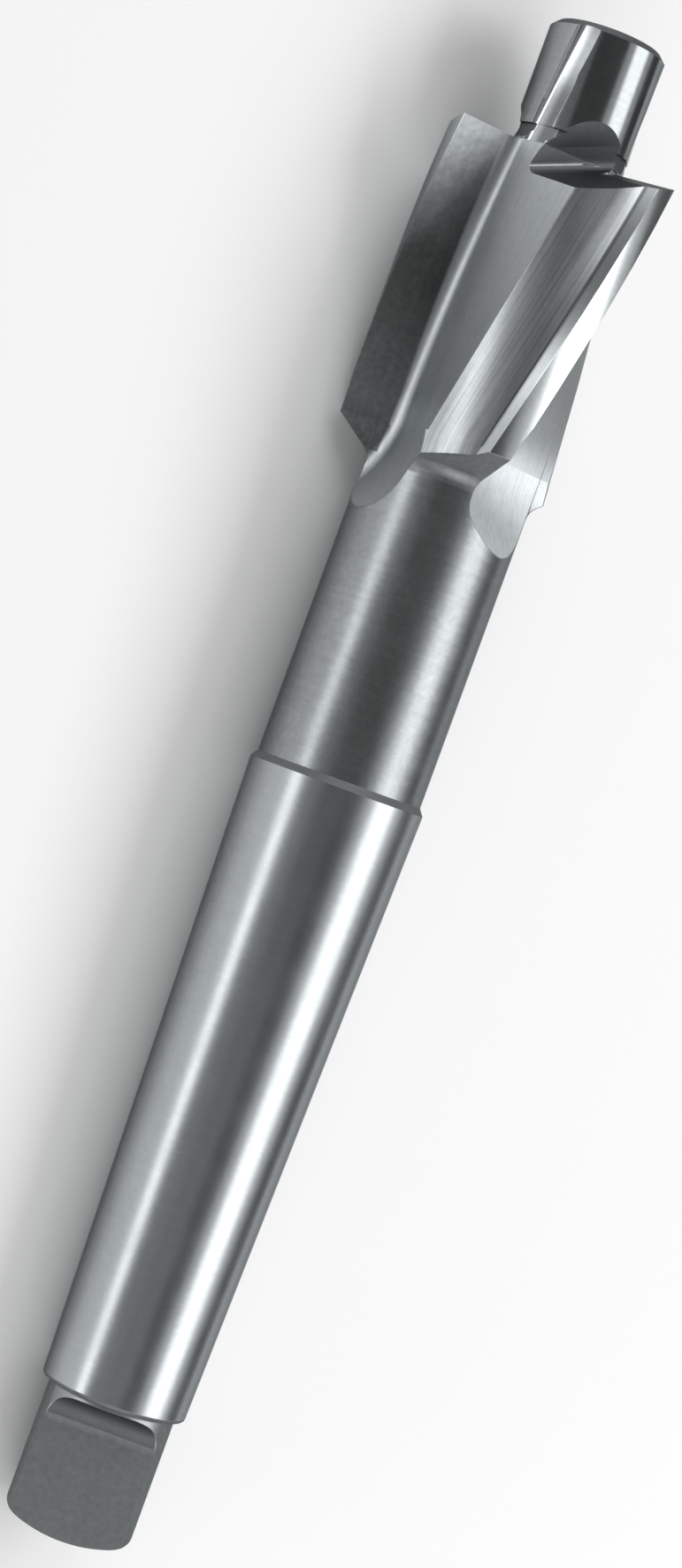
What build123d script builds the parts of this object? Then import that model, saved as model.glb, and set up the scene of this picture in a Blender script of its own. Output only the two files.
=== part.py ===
from build123d import *
import math
import os

# Piloted counterbore: one piece of tool steel with a pilot, a fluted head and a taper shank.
# It is worked out upright, with the tool axis on Z, the cutting face at zero and the pilot up,
# and is then laid down on its side. Angles run anticlockwise as seen from the pilot.

# Pilot
pilot_diameter = 12.0
pilot_length = 12.8
pilot_chamfer = 0.7
undercut_width = 1.8
undercut_depth = 0.28

# Cutting head
head_diameter = 25.0
head_length = 30.5
rear_cone_length = 3.0
rear_fillet = 2.0
tooth_count = 3
helix_lead = 298.0
margin_angle = 11.0
margin_step = 0.95
margin_step_angle = 4.2
margin_step_rounding = 0.4
land_angle = 49.0
heel_radius = 9.35
back_radius = 12.0

# Flutes between the teeth
flute_floor_radius = 5.8
flute_floor_angle = 21.8
flute_corner_radius = 1.6
flute_full_length = 30.2
flute_cutter_radius = 14.0
flute_cutter_tilt = 18.0

# Clearance ground behind each end cutting edge
end_relief_angle = 17.0
end_relief_gap = 0.15

# Steeper second clearance, cut on a slant past the foot of the pilot
notch_heading = 50.0
notch_slope = 22.5
notch_floor_height = 0.46
notch_floor_fall = 21.7
notch_wall_radius = 4.05
notch_corner_radius = 1.2
notch_crease_radius = 4.65
notch_crease_height = 0.96
notch_shoulder_angle = 30.0

# Neck
neck_diameter = 17.0
neck_length = 31.2
collar_chamfer_length = 0.75

# Taper shank, a number 2 self-holding taper
taper_large_diameter = 18.03
taper_length = 64.0
taper_ratio = 20.02
taper_end_radius = 0.45

# Tang between two flats
tang_diameter = 13.0
tang_length = 14.8
tang_thickness = 6.3
tang_flat_count = 2
tang_shoulder = 0.4
tang_cutter_radius = 3.2
tang_end_radius = 15.0
tang_corner_radius = 1.4
tang_turn = 29.2

# Room that a cutting shape takes beyond the metal it cuts
overrun = 2.0

# Turn about the axis in the lying pose, where the piece rests on two teeth and along its taper
rest_turn = 28.54

pilot_radius = pilot_diameter / 2
head_radius = head_diameter / 2
neck_radius = neck_diameter / 2
tang_radius = tang_diameter / 2
taper_large_radius = taper_large_diameter / 2
taper_small_radius = taper_large_radius - taper_length / taper_ratio / 2
cone_end = -(head_length + rear_cone_length)
collar_start = cone_end - neck_length
taper_start = collar_start - collar_chamfer_length
taper_end = taper_start - taper_length
tang_end = taper_end - tang_length
twist_rate = 360 / helix_lead
tooth_pitch = 360 / tooth_count
sweep_radius = head_radius + overrun
rest_tilt = math.degrees(math.atan(1 / taper_ratio / 2))


def polar(radius, angle, height=0):
    """A point from its distance to the tool axis, its angle and its height."""
    turn = math.radians(angle)
    return Vector(radius * math.cos(turn), radius * math.sin(turn), height)


def turned_blank():
    """The piece as it leaves the lathe, one profile turned about the tool axis."""
    dome_drop = tang_end_radius - math.sqrt(tang_end_radius**2 - tang_radius**2)
    outline = Polyline(
        (0, pilot_length),
        (pilot_radius - pilot_chamfer, pilot_length),
        (pilot_radius, pilot_length - pilot_chamfer),
        (pilot_radius, undercut_width),
        (pilot_radius - undercut_depth, undercut_width),
        (pilot_radius, 0),
        (head_radius, 0),
        (head_radius, -head_length),
        (neck_radius, cone_end),
        (neck_radius, collar_start),
        (taper_large_radius, taper_start),
        (taper_small_radius, taper_end),
        (tang_radius, taper_end),
        (tang_radius, tang_end + dome_drop),
    )
    middle = tang_radius / 2
    middle_height = tang_end + tang_end_radius - math.sqrt(tang_end_radius**2 - middle**2)
    dome = ThreePointArc(outline @ 1, (middle, middle_height), (0, tang_end))
    axis_line = Line((0, tang_end), (0, pilot_length))
    profile = make_face([outline, dome, axis_line])
    profile = round_corner(profile, (neck_radius, cone_end), rear_fillet)
    profile = round_corner(profile, (taper_small_radius, taper_end), taper_end_radius)
    profile = round_corner(profile, (tang_radius, tang_end + dome_drop), tang_corner_radius)
    return revolve(Plane.XZ * profile, Axis.Z)


def round_corner(section, corner, rounding):
    """Round the corner of a flat section that lies nearest to this point."""
    return fillet(section.vertices().sort_by_distance(corner)[0], rounding)


def flute_section():
    """The space between two teeth, turned so that the floor of the flute is square to X."""
    rake = math.tan(math.radians(flute_floor_angle))
    floor_end = math.sqrt(sweep_radius**2 - flute_floor_radius**2)
    corner = Vector(flute_floor_radius, -flute_floor_radius * rake)
    outline = Polyline(
        corner,
        (sweep_radius, -sweep_radius * rake),
        (sweep_radius, floor_end),
        (flute_floor_radius, floor_end),
        close=True,
    )
    return round_corner(make_face(outline), corner, flute_corner_radius)


def flute_cutters():
    """The rounded run-out that the milling cutter leaves, and the helical flute that leads to it."""
    bottom = -flute_full_length
    height = pilot_length + overrun - bottom
    start = Rot(0, 0, twist_rate * bottom + flute_floor_angle)
    wheel_axis = Axis((flute_floor_radius + flute_cutter_radius, 0, 0), (0, 1, 0))
    wheel = Rot(-flute_cutter_tilt, 0, 0) * revolve(flute_section(), wheel_axis, 360)
    section = Pos(0, 0, bottom) * start * flute_section()
    channel = Solid.extrude_linear_with_rotation(
        section.face(), (0, 0, bottom), (0, 0, height), twist_rate * height
    )
    return [Pos(0, 0, bottom) * start * wheel, channel]


def relief_cutter():
    """The metal ground away behind a margin, down a curved back to the heel of the tooth."""
    bottom = cone_end - overrun
    height = overrun - bottom
    outside = sweep_radius + overrun
    back_start = polar(head_radius - margin_step, -margin_angle - margin_step_angle)
    heel = polar(heel_radius, -land_angle)
    chord = heel - back_start
    bulge = back_radius - math.sqrt(back_radius**2 - (chord.length / 2) ** 2)
    outward = Vector(-chord.Y, chord.X).normalized()
    crown = (back_start + heel) * 0.5 + outward * bulge
    beyond = heel + chord.normalized() * (head_radius - heel_radius)
    far = polar(outside, -land_angle - margin_angle)
    near = polar(outside, -margin_angle)
    back = ThreePointArc(back_start, crown, heel)
    rest = Polyline(heel, beyond, far, near, polar(head_radius, -margin_angle), back_start)
    section = round_corner(make_face([back, rest]), back_start, margin_step_rounding)
    section = Pos(0, 0, bottom) * Rot(0, 0, twist_rate * bottom) * section
    return Solid.extrude_linear_with_rotation(
        section.face(), (0, 0, bottom), (0, 0, height), twist_rate * height
    )


def end_relief_cutter():
    """The clearance behind an end cutting edge, a wedge that falls away from the edge."""
    wide = 2 * sweep_radius
    block = Box(wide, wide, wide, align=(Align.MIN, Align.MAX, Align.MIN))
    wedge = Rot(end_relief_angle, 0, 0) * block
    guard = Pos(0, 0, -head_length) * Cylinder(
        pilot_radius + end_relief_gap, head_length + wide,
        align=(Align.CENTER, Align.CENTER, Align.MIN)
    )
    return wedge - guard


def notch_cutter():
    """The slanted second clearance, whose inner wall leaves a notch in the foot of the pilot."""
    wide = 2 * sweep_radius
    fall = math.tan(math.radians(notch_floor_fall))
    foot = Vector(notch_wall_radius, notch_floor_height - notch_wall_radius * fall)
    crease = Vector(notch_crease_radius, notch_crease_height)
    flare = wide * math.tan(math.radians(notch_shoulder_angle))
    outline = Polyline(
        foot,
        crease,
        (crease.X + flare, crease.Y + wide),
        (wide + flare, crease.Y + wide),
        (wide + flare, notch_floor_height - (wide + flare) * fall),
        close=True,
    )
    section = round_corner(make_face(outline), foot, notch_corner_radius)
    cutter = extrude(Plane.XZ * section, amount=wide, both=True)
    return Rot(0, 0, -notch_heading) * Rot(notch_slope, 0, 0) * cutter


def tang_cutter():
    """One of the shapes that leave the tang between flats with a rounded shoulder."""
    side = Pos(0, 0, taper_end - tang_shoulder) * Box(
        2 * sweep_radius,
        sweep_radius,
        tang_length + overrun,
        align=(Align.CENTER, Align.MIN, Align.MAX),
    )
    shoulder = side.edges().filter_by(Axis.X).group_by(Axis.Z)[-1].sort_by(Axis.Y)[0]
    return Pos(0, tang_thickness / 2, 0) * fillet(shoulder, tang_cutter_radius)


counterbore = turned_blank()
for cutter in flute_cutters() + [relief_cutter(), end_relief_cutter(), notch_cutter()]:
    for tooth in range(tooth_count):
        counterbore = counterbore - Rot(0, 0, tooth * tooth_pitch) * cutter
for flat in range(tang_flat_count):
    counterbore = counterbore - Rot(0, 0, tang_turn + flat * 360 / tang_flat_count) * tang_cutter()

# Laid on the bench, with the pilot towards -X and the origin under the middle of the piece
counterbore = Rot(0, rest_tilt - 90, 0) * Rot(0, 0, rest_turn) * counterbore
lying_box = counterbore.bounding_box()
counterbore = Pos(-lying_box.center().X, -lying_box.center().Y, -lying_box.min.Z) * counterbore

os.makedirs("parts", exist_ok=True)
export_step(counterbore, "parts/counterbore.step")
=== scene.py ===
import math
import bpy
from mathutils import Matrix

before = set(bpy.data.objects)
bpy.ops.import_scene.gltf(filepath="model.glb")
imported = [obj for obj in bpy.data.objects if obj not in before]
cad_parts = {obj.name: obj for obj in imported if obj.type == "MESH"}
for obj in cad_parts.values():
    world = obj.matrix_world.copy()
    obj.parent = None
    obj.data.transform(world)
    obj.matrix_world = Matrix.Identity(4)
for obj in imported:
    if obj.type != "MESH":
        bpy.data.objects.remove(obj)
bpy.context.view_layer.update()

from types import SimpleNamespace

import bpy
import numpy as np
from mathutils import Matrix, Vector

MM = 0.001

# The lying pose: where the middle of the cutting face is, and how the tool is turned from upright
FACE_MIDDLE = Vector((-65.6407, 0.1065, 10.6639)) * MM
TAPER_RISE = 1 / 20.02 / 2
REST_TILT = math.atan(TAPER_RISE)
REST_TURN = math.radians(28.54)
LYING_TURN = Matrix.Rotation(REST_TILT - math.pi / 2, 3, "Y") @ Matrix.Rotation(REST_TURN, 3, "Z")

# Sizes of the upright tool, in millimetres and degrees, with the cutting face at height zero.
# Angles run anticlockwise as seen from the pilot.
PILOT_RADIUS = 6.0
HEAD_RADIUS = 12.5
HEAD_END = -30.5
NECK_RADIUS = 8.5
NECK_START = -33.5
COLLAR_START = -64.7
TAPER_END = -129.45
TOOTH_PITCH = 120.0
TWIST_RATE = 360.0 / 298.0
TANG_RADIUS = 6.5
TANG_TURN = math.radians(29.2)
TANG_HALF = 3.15
TANG_FILLET_END = -133.05

# Section of the space between two teeth: its floor, and the rounded corner under a tooth's face
FLUTE_END = -30.2
FLUTE_FLOOR = 5.8
FLUTE_TURN = 21.8
FLUTE_CORNER = 1.6
CORNER_X = FLUTE_FLOOR + FLUTE_CORNER
RAKE_TURN = math.radians(FLUTE_TURN)
CORNER_Y = FLUTE_CORNER / math.cos(RAKE_TURN) - CORNER_X * math.tan(RAKE_TURN)
PILOT_CORNER_SHIFT = 0.9

# The arc of a tooth's back: its centre, and the angle where the step behind the margin meets it
BACK_CENTRE = (1.396, 3.970)
STEP_FOOT = TOOTH_PITCH - 15.0

# The milling wheel that leaves the run-outs, and the heading of the run-out that came out dull
WHEEL_RADIUS = 14.0
WHEEL_TILT = math.radians(18.0)
DULL_HEADING = math.radians(-134.7)

# The cone at the rear of the head and its fillet into the neck
REAR_FILLET = 2.0
FILLET_TOP = -32.9
FILLET_BOTTOM = -34.5
CONE_SLOPE = (HEAD_RADIUS - NECK_RADIUS) / (HEAD_END - NECK_START)

# Least angle ahead of a cutting edge. It lies a little behind the edge in the flutes, and further
# behind it lower down, so that the walls of the run-outs still count with the flute they stand in.
LEAST_ANGLE = -0.5
LEAST_ANGLE_AT_WALL = -10.5
LEAST_ANGLE_AT_RUN_OUT = -25.0

# Edges of the places on the tool: the two limits between which a place goes from nothing to full.
# Along the height:
PILOT_FOOT = (0.0, 0.1)
END_FACE_LEVEL = (-5.0, -4.8)
NOTCH_TOP = (4.5, 4.3)
HEAD_REAR = (NECK_START + 0.3, NECK_START + 0.5)
BACK_REAR = (NECK_START, NECK_START + 0.2)
SIDE_REAR = (NECK_START, NECK_START + 1.0)
STEP_REAR = (HEAD_END, HEAD_END + 0.5)
FLUTE_REAR = (FLUTE_END - 0.1, FLUTE_END)
BELOW_FLUTES = (FLUTE_END, FLUTE_END - 0.05)
FLUTE_RUNS_OUT = (FLUTE_END + 3.2, FLUTE_END - 1.3)
RUN_OUT_TOP = (FLUTE_END + 4.0, FLUTE_END - 1.5)
RUN_OUT_BOTTOM = (-42.0, -41.0)
WALL_ANGLE_TOP = (-26.0, -26.5)
RUN_OUT_ANGLE_TOP = (FLUTE_END - 1.5, FLUTE_END - 3.5)
LOW_WALL_TOP = (-24.0, -26.0)
LOW_RAKE_TOP = (-14.0, -31.0)
PAINTED_HIGHLIGHT_REAR = (-16.0, -5.0)
CONE_TOP = (HEAD_END, HEAD_END - 0.1)
CONE_BOTTOM = (FILLET_BOTTOM, FILLET_BOTTOM + 0.2)
CONE_ABOVE_FILLET = (FILLET_TOP - 0.05, FILLET_TOP + 0.05)
NECK_TOP = (NECK_START + 0.6, NECK_START)
NECK_BOTTOM = (COLLAR_START - 0.4, COLLAR_START)
COLLAR_TOP = (COLLAR_START + 0.2, COLLAR_START - 0.1)
COLLAR_BOTTOM = (COLLAR_START - 1.0, COLLAR_START - 0.8)
TAPER_TOP = (COLLAR_START, COLLAR_START - 0.4)
TAPER_BOTTOM = (TAPER_END, TAPER_END + 0.2)
END_ROUND_TOP = (TAPER_END + 0.5, TAPER_END + 0.4)
END_ROUND_BOTTOM = (TAPER_END - 0.3, TAPER_END - 0.1)
TANG_TOP = (TAPER_END, TAPER_END - 0.2)
TANG_FILLET_BOTTOM = (TANG_FILLET_END - 0.9, TANG_FILLET_END - 0.1)
# Out from the axis:
PILOT_SKIN = (PILOT_RADIUS - 0.07, PILOT_RADIUS - 0.05)
MARGIN_SKIN = (HEAD_RADIUS - 0.09, HEAD_RADIUS - 0.06)
NECK_SKIN_INSIDE = (NECK_RADIUS - 0.07, NECK_RADIUS - 0.04)
NECK_SKIN_OUTSIDE = (NECK_RADIUS + 0.1, NECK_RADIUS + 0.05)
TANG_SKIN = (TANG_RADIUS - 0.07, TANG_RADIUS - 0.04)
NOTCH_REACH = (9.5, 8.0)
# Out from the flute's floor, along it, and out from the middle of the tang:
BELOW_FLOOR = (FLUTE_FLOOR - 0.04, FLUTE_FLOOR - 0.07)
RAKE_START = (6.6, 7.0)
CORNER_EDGE = (CORNER_Y, CORNER_Y - 0.2)
PILOT_CORNER_EDGE = (0.7, -0.3)
FLAT_SKIN = (TANG_HALF + 0.1, TANG_HALF + 0.02)
# In the milling wheel, out from the turned rear of the head, and towards the dull run-out:
FLANK_REACH = (6.4, 7.0)
FLANK_SIDE = (-1.8, -2.4)
OFF_TURNED = (0.12, 0.07)
DULL_SIDE = (1.5, 3.5)
# Around the tool, in degrees: the strip of a back with a painted highlight, and the width of the
# painted shade along the foot of its step
PAINTED_HIGHLIGHT_SIDE = (STEP_FOOT - 12.0, STEP_FOOT - 4.0)
STEP_WIDTH = (1.2, 0.2)
# How squarely a surface faces the tip of the tool, and how well the true direction fits the mesh:
FACES_TIP = (0.2, 0.3)
COLLAR_FACES_TIP = (0.15, 0.3)
DIRECTION_FITS = (0.93, 0.955)
# Painted light on a tooth's face: its outer corner is lighter, by height plus shares of the radius and
# of the clouds:
LIGHT_BY_RADIUS = 1.3
LIGHT_BY_CLOUDS = 8.0
PAINTED_LIGHT_RAKE_EDGE = (4.0, 18.0)

# Soft patterns: how fine they are along each of their three coordinates, their detail and roughness
CLOUDS = ((0.35, 0.35, 0.22), 1.0, 0.55)
RINGS = ((2.6, 0.16, 0.16), 2.0, 0.7)
STREAKS = ((0.9, 2.0, 0.05), 3.0, 0.6)
MOTTLE = ((1.6, 1.6, 1.6), 3.0, 0.6)

# How each place is finished, where it differs from the plain steel: its roughness and its grey, how
# much the grey changes with mottle, streaks and rings, and how high rings, streaks and grain stand,
# as shares of MARK_HEIGHT. Where two places meet, the later one covers the earlier one. Some greys
# are painted light or shade, as the comments at their rows say.
PLAIN_STEEL = dict(
    rough=0.3, grey=0.44, mottled=0.25, streaked=0.0, ringed=0.0,
    rings_high=0.0, streaks_high=0.0, grain_high=0.25,
)
FINISHES = {
    "pilot": dict(rough=0.17, grey=0.32, ringed=0.15, rings_high=0.5, grain_high=0.07),
    "pilot_flute": dict(grey=0.2),
    "pilot_corner": dict(grey=0.5),
    "neck": dict(rough=0.31, grey=0.31, mottled=0.4, ringed=0.25, rings_high=2.4),
    "taper": dict(
        rough=0.27, grey=0.41, mottled=0.15, ringed=0.12, rings_high=0.7, grain_high=0.07
    ),
    # Painted shade: the collar's chamfer is dark, as the shaded corner between neck and collar
    "collar": dict(rough=0.65, grey=0.22),
    "back": dict(rough=0.32, streaked=1.1, streaks_high=1.2),
    "margin": dict(rough=0.22, grey=0.5, streaks_high=0.4, grain_high=0.07),
    # Painted highlight: a bright strip on the upper back of each tooth beside its step, standing in
    # for a reflection
    "burnish": dict(grey=1.0),
    # Painted shade: a dark line along the foot of the step behind each margin, in the crevice
    "step_foot": dict(grey=0.22),
    "corner": dict(rough=0.42),
    # The dark grey of a tooth's face is partly its own ground tone and partly painted shade
    "rake": dict(rough=0.42, grey=0.12, mottled=0.7, streaks_high=0.3, grain_high=0.9),
    "low_rake": dict(grey=0.2),
    # Painted light: the outer upper corner of each tooth's face is lighter, where light falls on it
    "light_rake": dict(grey=0.36),
    "low_wall": dict(grey=0.14),
    "run_out": dict(rough=0.44, grey=0.8, streaked=0.5, streaks_high=1.6),
    "dull_run_out": dict(grey=0.5),
    "flute": dict(rough=0.42, streaked=0.3),
    "flank": dict(rough=0.42, grey=0.17, streaked=1.0),
    "rear_cone": dict(rough=0.46, grey=0.24, mottled=0.6, grain_high=0.5),
    "ends": dict(rough=0.42, grey=0.18),
    "notch": dict(rough=0.5, grey=0.13),
    "tang": dict(rough=0.38, grey=0.33, grain_high=0.7),
    "flats": dict(rough=0.55, grey=0.245, mottled=0.5),
    # Painted shade: the fillets above the tang's flats are dark, as in the shade under the taper's end
    "tang_fillet": dict(rough=0.5, grey=0.115),
    # Painted shade: the rounded end of the taper is dark, where it meets the shade above the tang
    "end_round": dict(rough=0.6, grey=0.2),
}
CLOUDED_ROUGHNESS = 0.08
MARK_HEIGHT = 4e-6
STEEL_TINT = (0.945, 1.0, 1.02)
GRAZING_TINT = (0.35, 0.36, 0.37, 1.0)

# Camera: how far it is swung round the tool from straight above, and where it looks
CAMERA_SWING = math.radians(60.8) - REST_TURN
CAMERA_DISTANCE = 365.0 * MM
LOOK_HEIGHT = -62.97
PICTURE_LEAN = math.radians(20.1)
VIEW_HEIGHT = 154.36 * MM
SENSOR_HEIGHT = 24.0
PICTURE_SHIFT = (-0.00265, -0.0138)

# Lamps: name, swing round the tool from the camera, lean towards the tip and spread in degrees,
# length in metres, and radiance
LAMP_DISTANCE = 0.6
LAMPS = [
    ("key_strip", 70.0, 0.0, 30.0, 0.9, 3.0),
    ("key_halo", 70.0, 0.0, 60.0, 0.9, 0.55),
    ("fill_strip", -52.0, 0.0, 14.0, 0.9, 2.7),
    ("fill_halo", -37.0, 0.0, 40.0, 0.9, 0.2),
    ("tip_panel", 20.0, 54.0, 38.0, 0.45, 2.1),
    ("tang_panel", 20.0, -58.0, 36.0, 0.45, 2.4),
    ("taper_panel", -2.0, -20.0, 34.0, 0.3, 0.2),
]
ROOM_COLOUR = (0.09, 0.09, 0.09, 1.0)

# Floor
FLOOR_RADIUS = 12.0
FLOOR_SIDES = 96
FLOOR_COLOUR = (0.95, 0.95, 0.95, 1.0)
FLOOR_ROUGHNESS = 0.9


def tool_axes():
    """Directions along the tool towards its tip, towards the camera, and to the tool's right."""
    tip = LYING_TURN @ Vector((0, 0, 1))
    above = Vector((0, 1, 0)).cross(tip).normalized()
    front = math.cos(CAMERA_SWING) * above + math.sin(CAMERA_SWING) * Vector((0, -1, 0))
    return tip, front, tip.cross(front)


def look_point():
    """The point on the tool axis that the camera faces."""
    return FACE_MIDDLE + LYING_TURN @ Vector((0, 0, LOOK_HEIGHT * MM))


def place(thing, right, up, back, distance):
    """Put a camera or lamp at this distance from the look point, facing it."""
    turn = Matrix((right, up, back)).transposed().to_4x4()
    thing.matrix_world = Matrix.Translation(look_point() + back * distance) @ turn
    bpy.context.scene.collection.objects.link(thing)


def make_camera():
    """The camera, square to the tool, which leans to the right in the picture."""
    tip, front, side = tool_axes()
    right = math.cos(PICTURE_LEAN) * side + math.sin(PICTURE_LEAN) * tip
    up = -math.sin(PICTURE_LEAN) * side + math.cos(PICTURE_LEAN) * tip
    lens = bpy.data.cameras.new("camera")
    lens.sensor_fit = "VERTICAL"
    lens.sensor_height = SENSOR_HEIGHT
    lens.lens = SENSOR_HEIGHT * CAMERA_DISTANCE / VIEW_HEIGHT
    lens.shift_x, lens.shift_y = PICTURE_SHIFT
    camera = bpy.data.objects.new("camera", lens)
    place(camera, right, up, front, CAMERA_DISTANCE)
    bpy.context.scene.camera = camera


def make_lamp(name, swing, lean, spread, length, radiance):
    """A soft panel that faces the tool, swung round it from the camera and leant to its tip."""
    tip, front, side = tool_axes()
    swing, lean, spread = math.radians(swing), math.radians(lean), math.radians(spread)
    away = math.cos(swing) * front + math.sin(swing) * side
    across = tip.cross(away)
    back = math.cos(lean) * away + math.sin(lean) * tip
    panel = bpy.data.lights.new(name, "AREA")
    panel.shape = "RECTANGLE"
    panel.size = 2 * LAMP_DISTANCE * math.tan(spread / 2)
    panel.size_y = length
    panel.energy = radiance * math.pi * panel.size * panel.size_y
    place(bpy.data.objects.new(name, panel), across, back.cross(across), back, LAMP_DISTANCE)


def make_floor():
    """A round pale floor where the tool rests: radius times the cosine and sine of a full turn."""
    turn = np.linspace(0, 2 * np.pi, FLOOR_SIDES, endpoint=False)
    rim = FLOOR_RADIUS * np.stack([np.cos(turn), np.sin(turn), 0 * turn], axis=1)
    mesh = bpy.data.meshes.new("floor")
    mesh.from_pydata(rim.tolist(), [], [list(range(FLOOR_SIDES))])
    floor = bpy.data.objects.new("floor", mesh)
    bpy.context.scene.collection.objects.link(floor)
    paper = bpy.data.materials.new("floor_paper")
    paper.use_nodes = True
    surface = paper.node_tree.nodes["Principled BSDF"]
    surface.inputs["Base Color"].default_value = FLOOR_COLOUR
    surface.inputs["Roughness"].default_value = FLOOR_ROUGHNESS
    surface.inputs["Specular IOR Level"].default_value = 0.0
    mesh.materials.append(paper)


def make_room():
    """A dim, even grey room."""
    world = bpy.data.worlds.new("room")
    world.use_nodes = True
    world.node_tree.nodes["Background"].inputs["Color"].default_value = ROOM_COLOUR
    bpy.context.scene.world = world


class Finish:
    """The nodes of one material. Inputs are numbers or other nodes' outputs. Angles are in degrees."""

    def __init__(self, name):
        self.material = bpy.data.materials.new(name)
        self.material.use_nodes = True
        self.tree = self.material.node_tree
        self.surface = self.tree.nodes["Principled BSDF"]

    def join(self, socket, value):
        """Link another node's output to this socket, or write a number or setting in it."""
        if isinstance(value, bpy.types.NodeSocket):
            self.tree.links.new(value, socket)
        else:
            socket.default_value = value

    def node(self, kind, inputs, **settings):
        """A new node of this kind with its inputs and settings."""
        made = self.tree.nodes.new(kind)
        for name, value in settings.items():
            setattr(made, name, value)
        for name, value in inputs.items():
            self.join(made.inputs[name], value)
        return made

    def calc(self, operation, first, second=0.0, third=0.0):
        """One sum on numbers."""
        inputs = {0: first, 1: second, 2: third}
        return self.node("ShaderNodeMath", inputs, operation=operation).outputs[0]

    def plus(self, first, second):
        return self.calc("ADD", first, second)

    def minus(self, first, second):
        return self.calc("SUBTRACT", first, second)

    def times(self, first, second):
        return self.calc("MULTIPLY", first, second)

    def larger(self, first, second):
        return self.calc("MAXIMUM", first, second)

    def smaller(self, first, second):
        return self.calc("MINIMUM", first, second)

    def unsigned(self, value):
        return self.calc("ABSOLUTE", value)

    def root(self, value):
        return self.calc("SQRT", value)

    def cosine(self, angle):
        return self.calc("COSINE", self.calc("RADIANS", angle))

    def sine(self, angle):
        return self.calc("SINE", self.calc("RADIANS", angle))

    def length(self, first, second):
        """The long side of the right-angled triangle with these two short sides."""
        return self.root(self.plus(self.times(first, first), self.times(second, second)))

    def bearing(self, ahead, aside):
        """The angle of the point that lies this far along X and this far along Y."""
        return self.calc("DEGREES", self.calc("ARCTAN2", aside, ahead))

    def rise(self, value, start, end):
        """Zero below start, one above end, smooth between. It falls if start is the larger."""
        inputs = {"Value": value, "From Min": min(start, end), "From Max": max(start, end)}
        inputs["To Min"], inputs["To Max"] = (0.0, 1.0) if start < end else (1.0, 0.0)
        return self.node("ShaderNodeMapRange", inputs, interpolation_type="SMOOTHSTEP").outputs[0]

    def both(self, *masks):
        """One where every mask is one."""
        result = masks[0]
        for mask in masks[1:]:
            result = self.times(result, mask)
        return result

    def other(self, mask):
        """One where the mask is zero."""
        return self.minus(1.0, mask)

    def blend(self, base, *layers):
        """A number that starts as base and turns into each layer's value where its mask is one."""
        for mask, value in layers:
            inputs = {0: mask, 2: base, 3: value}
            base = self.node("ShaderNodeMix", inputs, data_type="FLOAT").outputs[0]
        return base

    def vector(self, *parts):
        """Three numbers as one direction or place."""
        return self.node("ShaderNodeCombineXYZ", dict(enumerate(parts))).outputs[0]

    def normal_to(self, space, direction):
        """A surface direction carried from the object to the world, or back."""
        settings = {"vector_type": "NORMAL", "convert_to": space}
        settings["convert_from"] = "OBJECT" if space == "WORLD" else "WORLD"
        return self.node("ShaderNodeVectorTransform", {0: direction}, **settings).outputs[0]

    def likeness(self, first, second):
        """One where two directions are the same, zero where they are square to each other."""
        inputs = {0: first, 1: second}
        return self.node("ShaderNodeVectorMath", inputs, operation="DOT_PRODUCT").outputs["Value"]

    def pattern(self, coordinates, scales, detail, roughness):
        """Soft noise between zero and one, read at these three coordinates times their scales."""
        scaled = [self.times(value, scale) for value, scale in zip(coordinates, scales)]
        inputs = {"Vector": self.vector(*scaled), "Scale": 1.0}
        inputs.update({"Detail": detail, "Roughness": roughness})
        return self.node("ShaderNodeTexNoise", inputs).outputs[0]


def tool_coordinates(f):
    """Where a point is on the upright tool, in millimetres and degrees, and what the mesh faces."""
    objects = f.node("ShaderNodeTexCoord", {}).outputs["Object"]
    inputs = {"Vector": objects, "Scale": (MM,) * 3}
    inputs.update({"Location": FACE_MIDDLE, "Rotation": LYING_TURN.to_euler()})
    upright = f.node("ShaderNodeMapping", inputs, vector_type="TEXTURE").outputs[0]
    x, y, z = f.node("ShaderNodeSeparateXYZ", {0: upright}).outputs
    at = SimpleNamespace(x=x, y=y, z=z, radius=f.length(x, y), angle=f.bearing(x, y))
    at.faceted = f.node("ShaderNodeNewGeometry", {}).outputs["Normal"]
    tip = tuple(LYING_TURN @ Vector((0, 0, 1)))
    at.facing_tip = f.likeness(f.normal_to("OBJECT", at.faceted), tip)
    return at


def flute_coordinates(f, at):
    """Adds the angle ahead of the nearest cutting edge, and the flute's and the wheel's sections.

    The angle is followed along the helix: angle - twist * height, held below the end of the flutes.
    The flute's section is radius * cos and sin of that angle less FLUTE_TURN, which puts its floor
    square to X. The wheel's axle lies WHEEL_RADIUS beyond the floor, tilted by WHEEL_TILT.
    """
    z = at.z
    untwisted = f.minus(at.angle, f.times(f.larger(z, FLUTE_END), TWIST_RATE))
    wall, run_out = f.rise(z, *WALL_ANGLE_TOP), f.rise(z, *RUN_OUT_ANGLE_TOP)
    least = f.blend(LEAST_ANGLE, (wall, LEAST_ANGLE_AT_WALL), (run_out, LEAST_ANGLE_AT_RUN_OUT))
    at.helix = f.calc("WRAP", untwisted, f.plus(least, TOOTH_PITCH), least)
    at.over_floor = f.times(at.radius, f.cosine(f.minus(at.helix, FLUTE_TURN)))
    at.along_floor = f.times(at.radius, f.sine(f.minus(at.helix, FLUTE_TURN)))
    below = f.minus(z, FLUTE_END)
    cosine, sine = math.cos(WHEEL_TILT), math.sin(WHEEL_TILT)
    at.along_axle = f.minus(f.times(at.along_floor, cosine), f.times(below, sine))
    wheel_z = f.plus(f.times(at.along_floor, sine), f.times(below, cosine))
    wheel_x = f.minus(FLUTE_FLOOR + WHEEL_RADIUS, at.over_floor)
    at.wheel_reach = f.minus(FLUTE_FLOOR + WHEEL_RADIUS, f.length(wheel_x, wheel_z))


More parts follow.
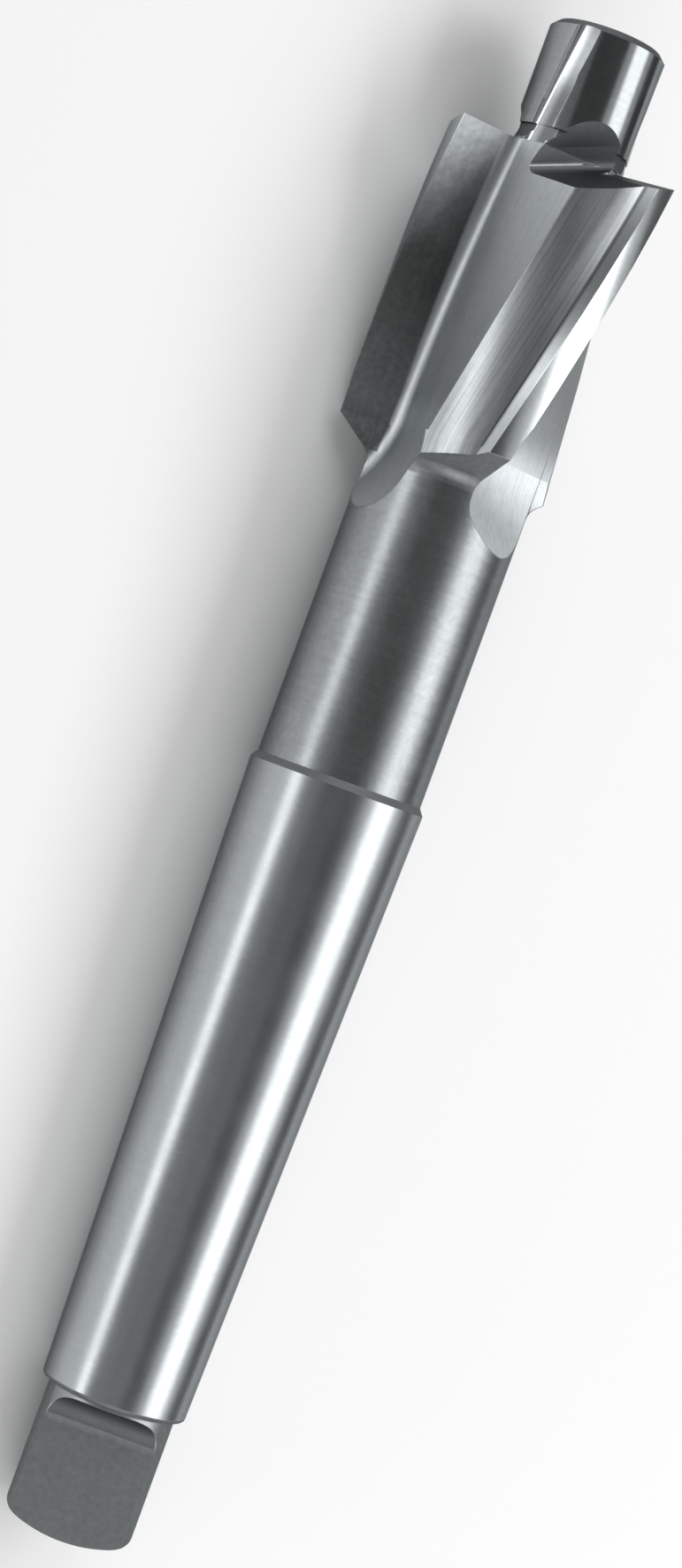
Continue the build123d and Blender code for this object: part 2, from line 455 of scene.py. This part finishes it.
def off_turned_rear(f, at):
    """How far a point is from the turned rear of the head: a cone with a fillet into the neck."""
    up_fillet = f.larger(f.minus(at.z, FILLET_BOTTOM), 0.0)
    across_fillet = f.root(f.larger(f.minus(REAR_FILLET**2, f.times(up_fillet, up_fillet)), 0.0))
    fillet = f.minus(NECK_RADIUS + REAR_FILLET, across_fillet)
    cone = f.plus(f.times(at.z, CONE_SLOPE), NECK_RADIUS - CONE_SLOPE * NECK_START)
    turned = f.blend(fillet, (f.rise(at.z, *CONE_ABOVE_FILLET), cone))
    return f.unsigned(f.minus(at.radius, turned))


def main_places(f, at):
    """Where the main surfaces are, as far as their place on the tool tells."""
    z, radius = at.z, at.radius
    rise, both, other = f.rise, f.both, f.other
    on = SimpleNamespace(pilot=rise(z, *PILOT_FOOT), margin=rise(radius, *MARGIN_SKIN))
    on.pilot_round = both(on.pilot, rise(radius, *PILOT_SKIN))
    inside_margin = both(other(on.pilot), other(on.margin))
    on.land = both(inside_margin, rise(at.over_floor, *BELOW_FLOOR))
    on.rake = both(inside_margin, rise(at.over_floor, *RAKE_START), rise(z, *HEAD_REAR))
    between_teeth = both(rise(z, *FLUTE_REAR), other(on.land), other(on.margin))
    on.corner = both(between_teeth, rise(at.along_floor, *CORNER_EDGE))
    on.flute = both(between_teeth, other(on.pilot))
    on.neck_round = both(rise(radius, *NECK_SKIN_INSIDE), rise(radius, *NECK_SKIN_OUTSIDE))
    on.neck_height = both(rise(z, *NECK_TOP), rise(z, *NECK_BOTTOM))
    on.neck = both(on.neck_height, on.neck_round)
    on.taper = both(rise(z, *TAPER_TOP), rise(z, *TAPER_BOTTOM))
    # The rounded end of the taper, where a dark grey is painted as shade
    on.end_round = both(rise(z, *END_ROUND_TOP), rise(z, *END_ROUND_BOTTOM))
    on.tang = rise(z, *TANG_TOP)
    on.tang_round = both(on.tang, rise(radius, *TANG_SKIN))
    off_middle = f.plus(f.times(at.x, -math.sin(TANG_TURN)), f.times(at.y, math.cos(TANG_TURN)))
    on.flats = both(on.tang, rise(f.unsigned(off_middle), *FLAT_SKIN))
    turned_rear = rise(off_turned_rear(f, at), *OFF_TURNED)
    on.rear_cone = both(turned_rear, rise(z, *CONE_TOP), rise(z, *CONE_BOTTOM))
    return on


def true_direction(f, at, on):
    """The direction to shade by, and one where it is the true surface's instead of the mesh's.

    The true direction is an angle from the line out of the axis: zero on what is turned, in a flute
    the bearing from the middle of its rounded corner, held between floor and tooth face, and on a
    tooth's back the bearing from the centre of its arc. A helical surface also leans along the
    axis, by radius * sin(that angle) * twist.
    """
    corner_y = f.plus(CORNER_Y, f.times(on.pilot, PILOT_CORNER_SHIFT))
    round_corner = f.bearing(f.minus(CORNER_X, at.over_floor), f.minus(corner_y, at.along_floor))
    round_corner = f.smaller(f.larger(round_corner, 0.0), 90.0 - FLUTE_TURN)
    flute_facing = f.minus(f.plus(round_corner, FLUTE_TURN), at.helix)
    behind = f.minus(at.helix, TOOTH_PITCH)
    from_x = f.minus(f.times(at.radius, f.cosine(behind)), BACK_CENTRE[0])
    from_y = f.minus(f.times(at.radius, f.sine(behind)), BACK_CENTRE[1])
    back_facing = f.minus(f.bearing(from_x, from_y), behind)
    turned = (on.margin, on.pilot_round, on.neck, on.taper, on.tang)
    facing = f.blend(flute_facing, (on.land, back_facing), *[(mask, 0.0) for mask in turned])

    turn = f.plus(at.angle, facing)
    lean = f.times(f.times(at.radius, f.sine(facing)), -math.radians(TWIST_RATE))
    outward = f.vector(f.cosine(turn), f.sine(turn), f.minus(lean, f.times(on.taper, TAPER_RISE)))
    outward = f.node("ShaderNodeVectorMath", {0: outward}, operation="NORMALIZE").outputs[0]
    inputs = {"Vector": outward, "Rotation": LYING_TURN.to_euler()}
    outward = f.node("ShaderNodeMapping", inputs, vector_type="VECTOR").outputs[0]
    outward = f.normal_to("WORLD", outward)

    # The places that have such a direction. Of those, it is used where it fits the mesh.
    below_the_helix = f.larger(on.land, on.margin)
    described = f.blend(
        1.0, (f.rise(at.z, *FLUTE_RUNS_OUT), below_the_helix), (on.neck_height, on.neck_round),
        (on.taper, 1.0), (on.tang, on.tang_round), (on.end_round, 0.0),
    )
    known = f.both(described, f.rise(f.likeness(outward, at.faceted), *DIRECTION_FITS))
    inputs = {0: known, 4: at.faceted, 5: outward}
    return f.node("ShaderNodeMix", inputs, data_type="VECTOR").outputs[1], known


def smaller_places(f, at, on, known, clouds):
    """Adds the places that lie on the main ones, some told apart by what the surface faces."""
    z, radius = at.z, at.radius
    rise, both, other = f.rise, f.both, f.other
    end_faces = both(rise(z, *END_FACE_LEVEL), rise(at.facing_tip, *FACES_TIP))
    on.ends = both(f.larger(on.pilot, end_faces), other(known))
    on.notch = both(on.ends, rise(radius, *NOTCH_REACH), rise(z, *NOTCH_TOP))
    on.pilot_flute = both(on.pilot, other(on.pilot_round), known)
    on.pilot_corner = both(on.pilot_flute, rise(at.along_floor, *PILOT_CORNER_EDGE))

    on.back = both(other(on.pilot), rise(z, *BACK_REAR), on.land, known)
    # Painted highlight: the strip of each back next to its step, near the top, gets a bright grey
    on.burnish = both(on.back, rise(at.helix, *PAINTED_HIGHLIGHT_SIDE), rise(z, *PAINTED_HIGHLIGHT_REAR))
    # Painted shade: a dark line in the crevice along the foot of each back's step
    off_step = f.unsigned(f.minus(at.helix, STEP_FOOT))
    on.step_foot = both(on.land, rise(off_step, *STEP_WIDTH), rise(z, *STEP_REAR))

    # Painted light: a lighter grey on the outer upper corner of each tooth's face
    outer = f.plus(f.plus(z, f.times(radius, LIGHT_BY_RADIUS)), f.times(clouds, LIGHT_BY_CLOUDS))
    on.light_rake = both(on.rake, rise(outer, *PAINTED_LIGHT_RAKE_EDGE))
    on.low_rake = both(on.rake, rise(z, *LOW_RAKE_TOP))
    on.low_wall = both(on.rake, other(known), rise(z, *LOW_WALL_TOP))

    head_sides = both(on.land, rise(z, *SIDE_REAR))
    not_turned = both(other(on.neck_round), other(on.rear_cone), other(on.margin))
    scoop = both(rise(z, *RUN_OUT_BOTTOM), not_turned, other(head_sides))
    on.run_out = both(scoop, rise(z, *RUN_OUT_TOP), other(on.rake))
    to_dull = f.plus(f.times(at.x, math.cos(DULL_HEADING)), f.times(at.y, math.sin(DULL_HEADING)))
    on.dull_run_out = both(on.run_out, rise(to_dull, *DULL_SIDE))
    wheel_side = both(rise(at.wheel_reach, *FLANK_REACH), rise(at.along_axle, *FLANK_SIDE))
    on.flank = both(scoop, rise(z, *BELOW_FLUTES), wheel_side)

    # Painted shade: the chamfer of the collar, facing the tip, gets a dark grey
    collar_height = both(rise(z, *COLLAR_TOP), rise(z, *COLLAR_BOTTOM))
    on.collar = both(collar_height, rise(at.facing_tip, *COLLAR_FACES_TIP))
    # Painted shade: the fillets between the tang's flats and the taper's end get a dark grey
    off_flats = both(on.tang, other(on.tang_round), other(on.flats))
    on.tang_fillet = both(off_flats, rise(z, *TANG_FILLET_BOTTOM))


def steel_finish():
    """Tool steel: turned neck, ground taper, pilot and backs, milled flutes and a dull tang, with
    painted highlight and shade on some places.
    """
    f = Finish("ground_tool_steel")
    at = tool_coordinates(f)
    flute_coordinates(f, at)
    on = main_places(f, at)
    normal, known = true_direction(f, at, on)
    clouds = f.pattern((at.x, at.y, at.z), *CLOUDS)
    smaller_places(f, at, on, known, clouds)

    def amount(kind):
        """One column of the table of finishes, as it changes over the tool."""
        rows = [(getattr(on, name), row[kind]) for name, row in FINISHES.items() if kind in row]
        return f.blend(PLAIN_STEEL[kind], *rows)

    # Marks of the tools: rings from turning, streaks along the helix, and a fine mottle
    rings = f.pattern((at.z, at.x, at.y), *RINGS)
    streaks = f.pattern((at.helix, at.radius, at.z), *STREAKS)
    mottle = f.pattern((at.x, at.y, at.z), *MOTTLE)

    rough = f.plus(amount("rough"), f.times(f.minus(clouds, 0.5), CLOUDED_ROUGHNESS))
    mottled = f.plus(1.0, f.times(f.minus(mottle, 0.5), amount("mottled")))
    streaked = f.times(f.minus(streaks, 0.5), amount("streaked"))
    ringed = f.times(f.minus(rings, 0.5), amount("ringed"))
    grey = f.times(f.times(amount("grey"), mottled), f.plus(f.plus(1.0, streaked), ringed))
    tinted = {k: f.times(grey, share) for k, share in enumerate(STEEL_TINT)}
    colour = f.node("ShaderNodeCombineColor", tinted).outputs[0]

    height = f.plus(f.times(rings, amount("rings_high")), f.times(streaks, amount("streaks_high")))
    height = f.plus(height, f.times(mottle, amount("grain_high")))
    inputs = {"Strength": 1.0, "Distance": MARK_HEIGHT, "Height": height, "Normal": normal}
    marks = f.node("ShaderNodeBump", inputs).outputs[0]

    f.join(f.surface.inputs["Base Color"], colour)
    f.join(f.surface.inputs["Roughness"], rough)
    f.join(f.surface.inputs["Normal"], marks)
    f.join(f.surface.inputs["Metallic"], 1.0)
    f.join(f.surface.inputs["Specular Tint"], GRAZING_TINT)
    return f.material


bpy.context.scene.view_settings.view_transform = "Standard"
make_camera()
make_room()
make_floor()
for lamp in LAMPS:
    make_lamp(*lamp)

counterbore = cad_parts["counterbore"]
counterbore.material_slots[0].material = steel_finish()
